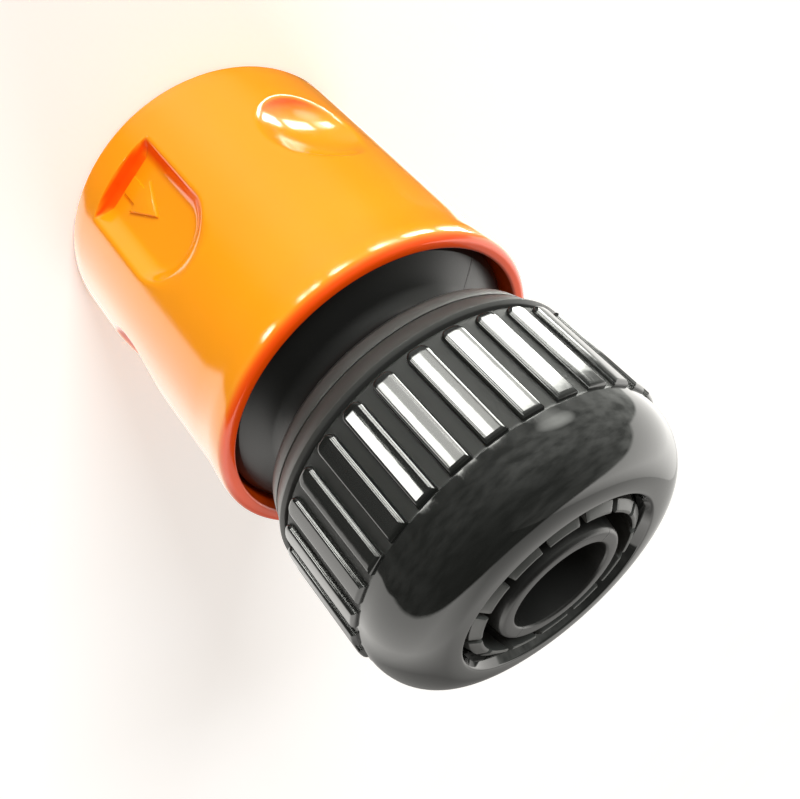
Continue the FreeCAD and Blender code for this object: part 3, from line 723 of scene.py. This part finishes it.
def make_grip():
    bm = lathe([
        (HOSE_SPACE_R, GRIP_BACK, 0.2, 2),
        (GRIP_R, GRIP_BACK, 0.2, 2),
        (GRIP_R, GRIP_FRONT, 0.2, 2),
        (HOSE_SPACE_R, GRIP_FRONT),
    ], 144)
    pitch = 360 / FINGER_COUNT
    inner_slope = (FINGER_ROOT_IN_R - FINGER_TIP_IN_R) / FINGER_TAPER_LONG
    profile = [
        (FINGER_ROOT_IN_R, GRIP_FRONT - 0.3),
        (FINGER_ROOT_R, GRIP_FRONT - 0.3),
        (FINGER_ROOT_R, FINGER_TAPER_LOW, 0.6, 3),
        (FINGER_TIP_R, FINGER_TAPER_HIGH, 0.2, 2),
        (FINGER_TIP_R, FINGER_TIP - 0.5, 0.12, 2),
        (FINGER_TIP_IN_R + 0.35, FINGER_TIP, 0.12, 2),
        (FINGER_TIP_IN_R, FINGER_TIP, 0.1, 2),
    ]
    for i in range(TOOTH_COUNT):
        drop = i * TOOTH_PITCH
        crest_r = FINGER_TIP_IN_R + inner_slope * drop
        if i:
            profile.append((crest_r, FINGER_TIP - drop))
        profile.append((crest_r + TOOTH_DEEP, FINGER_TIP - drop - TOOTH_LONG))
    teeth = TOOTH_COUNT * TOOTH_PITCH
    profile.append((FINGER_TIP_IN_R + inner_slope * teeth, FINGER_TIP - teeth))
    finger = bmesh.new()
    draw_profile(finger, profile)
    bmesh.ops.rotate(finger, cent=ORIGIN, matrix=on_side(-90 - pitch / 2), verts=finger.verts)
    bmesh.ops.contextual_create(finger, geom=finger.edges[:])
    bmesh.ops.spin(finger, geom=finger.faces[:], cent=ORIGIN, axis=UP, dvec=ORIGIN,
                   angle=math.radians(pitch), steps=10, use_merge=False)
    bmesh.ops.recalc_face_normals(finger, faces=finger.faces)
    for sign in (1, -1):
        across = on_side(sign * pitch / 2) @ Vector((sign, 0, 0))
        cut_by_plane(finger, -across * (FINGER_SLIT / 2 * MM), across)
    corners = [edge for edge in finger.edges if edge.calc_face_angle(0) > math.radians(50)
               and min(vert.co.z for vert in edge.verts) > (FINGER_TIP - 3) * MM]
    bevel_edges(finger, corners, 0.1, 2)
    add_copies(bm, finger, [FINGER_PHASE + pitch * (i + 0.5) for i in range(FINGER_COUNT)])
    finish_piece("finger_ring", bm, "grip", finger_grey, 32, ["grip_ring"])


# Clamp nut

def make_rib():
    """One rib on the -Y side with rounded edges and a rounded back end. Cuts close to its ends
    keep the rounding out of the shading of its long top."""
    bm = bmesh.new()
    bmesh.ops.create_cube(bm, size=1.0)
    low, high, crown = RIB_LOW_Z, NUT_SHOULDER, NUT_R + RIB_HIGH
    middle = mm_point(0, -NUT_R - (RIB_HIGH - RIB_SUNK) / 2, (low + high) / 2)
    bmesh.ops.scale(bm, vec=mm_point(RIB_WIDTH, RIB_HIGH + RIB_SUNK, high - low), verts=bm.verts)
    bmesh.ops.translate(bm, vec=middle, verts=bm.verts)
    corners = [edge for edge in bm.edges
               if all(abs(vert.co.z - low * MM) < SAME_PLANE for vert in edge.verts)
               and abs(edge.verts[0].co.y - edge.verts[1].co.y) > SAME_PLANE]
    bevel_edges(bm, corners, RIB_END_ROUND, 8)
    rim = [edge for edge in bm.edges
           if all(abs(vert.co.y + crown * MM) < SAME_PLANE for vert in edge.verts)]
    bevel_edges(bm, rim, RIB_TOP_ROUND, 6)
    cuts = [(mm_point(x, 0, 0), Vector((1, 0, 0))) for x in RIB_LONG_CUTS]
    cuts += [(mm_point(0, 0, low + step), UP) for step in RIB_BACK_CUTS]
    cuts += [(mm_point(0, 0, high - step), UP) for step in RIB_FRONT_CUTS]
    for place, away in cuts:
        bmesh.ops.bisect_plane(bm, geom=bm.verts[:] + bm.edges[:] + bm.faces[:], dist=SAME_SPOT,
                               plane_co=place, plane_no=away)
    # The flat top takes the nut's own curve
    for vert in bm.verts:
        vert.co.y += (crown - math.sqrt(crown ** 2 - (vert.co.x / MM) ** 2)) * MM
    return bm


def make_nut():
    bm = bmesh.new()
    draw_profile(bm, [
        (NUT_BORE_R, NUT_BACK, 0.3, 3),
        (NUT_R, NUT_BACK, 0.35, 4),
        (NUT_R, NUT_FRONT, NUT_NOSE, 22),
        (NUT_MOUTH_R, NUT_FRONT, 0.3, 5),
        (NUT_THROAT_R, NUT_THROAT),
        (NUT_CONE_R, NUT_CONE),
        (NUT_BORE_R, NUT_CONE - NUT_BORE_STEP),
    ])
    cut_upright(bm, NUT_R, [NUT_BACK + 0.5, NUT_SHOULDER])
    spin_round(bm, 240)
    add_copies(bm, make_rib(), [RIB_PHASE + i * 360 / RIB_COUNT for i in range(RIB_COUNT)])
    ridge = helix_ridge(NUT_BORE_R + THREAD_SUNK, NUT_THREAD_R, NUT_THREAD_START,
                        NUT_THREAD_TURNS, NUT_THREAD_AZIMUTH)
    add_copies(bm, ridge, [0])
    finish_piece("ribbed_nut", bm, "nut", black, 32, ["clamp_nut"])


make_sleeve()
make_body()
make_socket_front()
make_front_ring()
for number, azimuth in enumerate(CLAW_AZIMUTHS, 1):
    make_claw(number, azimuth)
make_spring()
make_grip()
make_nut()


# Studio

# The floor's half width in metres, the light that lifts what the camera sees of it, and the
# connector's middle in millimetres
FLOOR_HALF, FLOOR_LIFT, MIDDLE = 3.0, 0.25, (0, 0, 30)


def make_floor():
    """Plain pale floor. It lifts what the camera sees of it to white and keeps the shadow."""
    bm = bmesh.new()
    bmesh.ops.create_grid(bm, x_segments=1, y_segments=1, size=FLOOR_HALF)
    mesh = bpy.data.meshes.new("floor")
    bm.to_mesh(mesh)
    bm.free()
    floor = bpy.data.objects.new("floor", mesh)
    bpy.context.scene.collection.objects.link(floor)
    material, tree, place = start_material("matt_white_board")
    fibre = add_node(tree, "ShaderNodeTexNoise", [("Vector", place, "Object")],
                     {"Scale": per_mm(60), "Detail": 3.0})
    tone = add_node(tree, "ShaderNodeMix", [("Factor", fibre, "Fac")],
                    {MIX_A: linear("#fbfaf7"), MIX_B: linear("#ffffff")}, data_type="RGBA")
    board = add_node(tree, "ShaderNodeBsdfDiffuse", [("Color", tone, MIX_OUT)])
    lift = add_node(tree, "ShaderNodeEmission", values={"Strength": FLOOR_LIFT})
    seen = add_node(tree, "ShaderNodeLightPath")
    dark = add_node(tree, "ShaderNodeEmission", values={"Strength": 0.0})
    lifted = add_node(tree, "ShaderNodeMixShader", [
        ("Fac", seen, "Is Camera Ray"), (1, dark, "Emission"), (2, lift, "Emission")])
    both = add_node(tree, "ShaderNodeAddShader", [(0, board, "BSDF"), (1, lifted, "Shader")])
    add_node(tree, "ShaderNodeOutputMaterial", [("Surface", both, "Shader")])
    mesh.materials.append(material)
    floor.visible_glossy = False


def add_panel(name, place, size, strength, colour):
    """Soft box that faces the connector. Glossy surfaces see the world instead of it."""
    lamp = bpy.data.lights.new(name, "AREA")
    lamp.shape = "RECTANGLE"
    lamp.size, lamp.size_y = size
    lamp.energy = strength
    lamp.color = colour
    panel = bpy.data.objects.new(name, lamp)
    bpy.context.scene.collection.objects.link(panel)
    panel.location = place
    panel.rotation_mode = "QUATERNION"
    panel.rotation_quaternion = (Vector(place) - mm_point(*MIDDLE)).to_track_quat("Z", "Y")
    panel.visible_glossy = False


# What glossy surfaces see round the connector, as levels by azimuth in degrees: the panes of a
# barred window, a room that is lighter on the window's side, a soft light low in the room, and a
# white table behind the connector
WINDOW_PANES = (
    (-180, 0.0), (-140, 1.0), (-120, 0.0), (-112, 1.0), (-92, 0.0), (-86, 0.3), (-79, 1.0),
    (-70, 0.0), (-54, 0.3), (-50.5, 1.0), (-41, 0.0), (-31, 1.0), (-27, 0.3), (-21.5, 1.0),
    (-17, 0.0), (3, 1.0), (14, 0.0),
)
ROOM_SIDES = ((-180, 1.0), (-90, 1.0), (-50, 0.8), (-20, 0.4), (10, 0.25), (60, 0.2))
SOFT_LIGHT = ((-180, 0.1), (-110, 0.15), (-75, 0.7), (-47, 1.0), (-20, 0.6), (5, 0.1))
TABLE_SIDES = (
    (-180, 0.5), (-165, 1.1), (-120, 1.3), (-60, 0.9), (110, 0.9), (145, 0.4), (170, 0.35),
)
PANE_LEVEL, ROOM_LEVEL, SOFT_LEVEL, TABLE_LEVEL, WORLD_LEVEL = 30.0, 1.3, 1.0, 2.9, 0.45

# Elevations in degrees of the window's foot and head, and of where the room dims overhead
PANE_FOOT, PANE_FOOT_BLUR, PANE_HEAD, PANE_HEAD_BLUR = -34.0, 1.0, -25.7, 0.8
ROOM_BLUR, OVERHEAD_FROM, OVERHEAD_TO, OVERHEAD_LEVEL = 3.0, 20.0, 62.0, 0.3

# Table: the azimuth it lies away from, how steep its near edge looks, and the way past its end
TABLE_AZIMUTH, TABLE_REACH, TABLE_END_WAY = -31.0, 2.3, (137.0, 30.0)

# A bright patch in the room, and the connector's own shade on the table: the way to its middle
# and how many degrees from there it is full and gone
PATCH_WAY, PATCH_FULL, PATCH_GONE, PATCH_LEVEL = (-81.0, -15.0), 4.0, 13.0, 5.0
SHADE_WAY, SHADE_FULL, SHADE_GONE, SHADE_SHARE = (136.0, 0.0), 16.0, 34.0, 0.25


def direction(azimuth, elevation):
    across = math.cos(math.radians(elevation))
    return (across * math.sin(math.radians(azimuth)), -across * math.cos(math.radians(azimuth)),
            math.sin(math.radians(elevation)))


def height_of(elevation):
    return math.sin(math.radians(elevation))


def nearness(degrees):
    """Dot product of two directions that lie so many degrees apart."""
    return math.cos(math.radians(degrees))


def set_levels(ramp, levels, kind):
    """Levels of a colour ramp over the full turn."""
    ramp.color_ramp.interpolation = kind
    elements = ramp.color_ramp.elements
    elements.remove(elements[1])
    for i, (azimuth, level) in enumerate(levels):
        place = (azimuth + 180) / 360
        element = elements[0] if i == 0 else elements.new(place)
        element.position = place
        element.color = (level, level, level, 1)


def make_world():
    """Even light for matt surfaces, a white backdrop for the camera, and for glossy surfaces a
    room with a barred window and a white table."""
    world = bpy.data.worlds.new("studio")
    bpy.context.scene.world = world
    world.use_nodes = True
    tree = world.node_tree
    tree.nodes.clear()
    way = add_node(tree, "ShaderNodeTexCoord")
    part = add_node(tree, "ShaderNodeSeparateXYZ", [("Vector", way, "Generated")])
    minus_y = add_node(tree, "ShaderNodeMath", [(0, part, "Y")], {1: -1.0}, operation="MULTIPLY")
    angle = add_node(tree, "ShaderNodeMath", [(0, part, "X"), (1, minus_y, "Value")],
                     operation="ARCTAN2")
    turn = add_node(tree, "ShaderNodeMapRange", [("Value", angle, "Value")],
                    {"From Min": -math.pi, "From Max": math.pi})
    ramps = []
    for levels, kind in ((WINDOW_PANES, "CONSTANT"), (ROOM_SIDES, "LINEAR"), (SOFT_LIGHT, "EASE"),
                         (TABLE_SIDES, "LINEAR")):
        ramps.append(add_node(tree, "ShaderNodeValToRGB", [("Fac", turn, "Result")]))
        set_levels(ramps[-1], levels, kind)
    panes, sides, soft, table = ramps

    # Window: panes between two elevations
    foot = add_node(tree, "ShaderNodeMapRange", [("Value", part, "Z")], {
        "From Min": height_of(PANE_FOOT - PANE_FOOT_BLUR),
        "From Max": height_of(PANE_FOOT + PANE_FOOT_BLUR), "To Max": PANE_LEVEL})
    head = add_node(tree, "ShaderNodeMapRange", [("Value", part, "Z")], {
        "From Min": height_of(PANE_HEAD - PANE_HEAD_BLUR),
        "From Max": height_of(PANE_HEAD + PANE_HEAD_BLUR), "To Min": 1.0, "To Max": 0.0})
    tall = add_node(tree, "ShaderNodeMath", [(0, foot, "Result"), (1, head, "Result")],
                    operation="MULTIPLY")
    window = add_node(tree, "ShaderNodeMath", [(0, tall, "Value"), (1, panes, "Color")],
                      operation="MULTIPLY")

    # Room above the window's foot, dimmer overhead and mottled, and the soft light below it
    room_low, room_high = height_of(PANE_FOOT - ROOM_BLUR), height_of(PANE_FOOT + ROOM_BLUR)
    upper = add_node(tree, "ShaderNodeMapRange", [("Value", part, "Z")],
                     {"From Min": room_low, "From Max": room_high, "To Max": ROOM_LEVEL})
    overhead = add_node(tree, "ShaderNodeMapRange", [("Value", part, "Z")], {
        "From Min": height_of(OVERHEAD_FROM), "From Max": height_of(OVERHEAD_TO),
        "To Min": 1.0, "To Max": OVERHEAD_LEVEL})
    mottle = add_node(tree, "ShaderNodeTexNoise", [("Vector", way, "Generated")],
                      {"Scale": 5.0, "Detail": 4.0})
    uneven = add_node(tree, "ShaderNodeMapRange", [("Value", mottle, "Fac")],
                      {"From Min": 0.35, "From Max": 0.65, "To Min": 0.5, "To Max": 1.4})
    room_one = add_node(tree, "ShaderNodeMath", [(0, upper, "Result"), (1, overhead, "Result")],
                        operation="MULTIPLY")
    room_two = add_node(tree, "ShaderNodeMath", [(0, room_one, "Value"), (1, sides, "Color")],
                        operation="MULTIPLY")
    lower = add_node(tree, "ShaderNodeMapRange", [("Value", part, "Z")], {
        "From Min": room_low, "From Max": room_high, "To Min": SOFT_LEVEL, "To Max": 0.0})
    glow = add_node(tree, "ShaderNodeMath", [(0, lower, "Result"), (1, soft, "Color")],
                    operation="MULTIPLY")
    room = add_node(tree, "ShaderNodeMath", [
        (0, room_two, "Value"), (1, uneven, "Result"), (2, glow, "Value")],
        operation="MULTIPLY_ADD")
    to_patch = add_node(tree, "ShaderNodeVectorMath", [(0, way, "Generated")],
                        {1: direction(*PATCH_WAY)}, operation="DOT_PRODUCT")
    patch = add_node(tree, "ShaderNodeMapRange", [("Value", to_patch, "Value")], {
        "From Min": nearness(PATCH_GONE), "From Max": nearness(PATCH_FULL), "To Max": PATCH_LEVEL})
    lit = add_node(tree, "ShaderNodeMath", [(0, window, "Value"), (1, room, "Value")],
                   operation="ADD")
    lit_room = add_node(tree, "ShaderNodeMath", [(0, lit, "Value"), (1, patch, "Result")],
                        operation="ADD")

    # Table: behind the connector as far as its near edge, with the connector's own shade on it
    behind = add_node(tree, "ShaderNodeVectorMath", [(0, way, "Generated")],
                      {1: direction(TABLE_AZIMUTH + 180, 0)}, operation="DOT_PRODUCT")
    below = add_node(tree, "ShaderNodeMapRange", [("Value", behind, "Value")],
                     {"From Min": 0.03, "From Max": 0.05})
    left = add_node(tree, "ShaderNodeVectorMath", [(0, way, "Generated")],
                    {1: direction(TABLE_AZIMUTH + 90, 0)}, operation="DOT_PRODUCT")
    end = add_node(tree, "ShaderNodeVectorMath", [(0, way, "Generated")],
                   {1: direction(*TABLE_END_WAY)}, operation="DOT_PRODUCT")
    not_past = add_node(tree, "ShaderNodeMath", [(0, left, "Value"), (1, end, "Value")],
                        operation="MAXIMUM")
    far_end = add_node(tree, "ShaderNodeMapRange", [("Value", not_past, "Value")],
                       {"From Min": 0.0, "From Max": 0.04})
    reach = add_node(tree, "ShaderNodeMath", [(0, behind, "Value")], {1: TABLE_REACH},
                     operation="MULTIPLY")
    inside = add_node(tree, "ShaderNodeMath", [(0, reach, "Value"), (1, part, "Z")],
                      operation="SUBTRACT")
    near_edge = add_node(tree, "ShaderNodeMapRange", [("Value", inside, "Value")],
                         {"From Min": 0.0, "From Max": 0.12})
    this_side = add_node(tree, "ShaderNodeMath", [(0, below, "Result"), (1, far_end, "Result")],
                         operation="MULTIPLY")
    on_table = add_node(tree, "ShaderNodeMath", [
        (0, this_side, "Value"), (1, near_edge, "Result")], operation="MULTIPLY")
    to_shade = add_node(tree, "ShaderNodeVectorMath", [(0, way, "Generated")],
                        {1: direction(*SHADE_WAY)}, operation="DOT_PRODUCT")
    shade = add_node(tree, "ShaderNodeMapRange", [("Value", to_shade, "Value")], {
        "From Min": nearness(SHADE_GONE), "From Max": nearness(SHADE_FULL),
        "To Min": TABLE_LEVEL, "To Max": TABLE_LEVEL * SHADE_SHARE})
    table_level = add_node(tree, "ShaderNodeMath", [(0, table, "Color"), (1, shade, "Result")],
                           operation="MULTIPLY")

    # Sockets 2 and 3 are what a mix node of plain values mixes, and 0 is its result
    seen_level = add_node(tree, "ShaderNodeMix", [
        ("Factor", on_table, "Value"), (2, lit_room, "Value"), (3, table_level, "Value")],
        data_type="FLOAT")
    hue = add_node(tree, "ShaderNodeMix", [("Factor", on_table, "Value")],
                   {MIX_A: linear("#fafbf4"), MIX_B: linear("#fdfbf6")}, data_type="RGBA")
    seen = add_node(tree, "ShaderNodeBackground", [
        ("Strength", seen_level, 0), ("Color", hue, MIX_OUT)])
    plain = add_node(tree, "ShaderNodeBackground",
                     values={"Color": linear("#fff2e7"), "Strength": WORLD_LEVEL})
    path = add_node(tree, "ShaderNodeLightPath")
    mixed = add_node(tree, "ShaderNodeMixShader", [
        ("Fac", path, "Is Glossy Ray"), (1, plain, "Background"), (2, seen, "Background")])
    backdrop = add_node(tree, "ShaderNodeBackground",
                        values={"Color": linear("#ffffff"), "Strength": 1.0})
    shown = add_node(tree, "ShaderNodeMixShader", [
        ("Fac", path, "Is Camera Ray"), (1, mixed, "Shader"), (2, backdrop, "Background")])
    add_node(tree, "ShaderNodeOutputWorld", [("Surface", shown, "Shader")])


make_floor()
add_panel("key", (-3.72, -2.91, 1.63), (1.8, 2.0), 240.0, (0.92, 0.98, 1.0))
add_panel("fill", (1.9, 3.3, 3.2), (2.6, 2.6), 60.0, (0.97, 0.99, 1.0))
make_world()

eye = bpy.data.cameras.new("camera")
eye.sensor_fit = "HORIZONTAL"
eye.sensor_width = 36.0
eye.lens = 44.04
camera = bpy.data.objects.new("camera", eye)
bpy.context.scene.collection.objects.link(camera)
right = Vector((-0.59449, 0.56240, 0.57472))
up = Vector((-0.76007, -0.15973, -0.62990))
back = Vector((-0.26246, -0.81130, 0.52242))
turn = Matrix((right, up, back)).transposed()
camera.rotation_mode = "QUATERNION"
camera.rotation_quaternion = turn.to_quaternion()
camera.location = Vector((-24.88, -75.23, 83.35)) * MM
eye.clip_start = 0.001
bpy.context.scene.camera = camera
bpy.context.scene.view_settings.view_transform = "Standard"
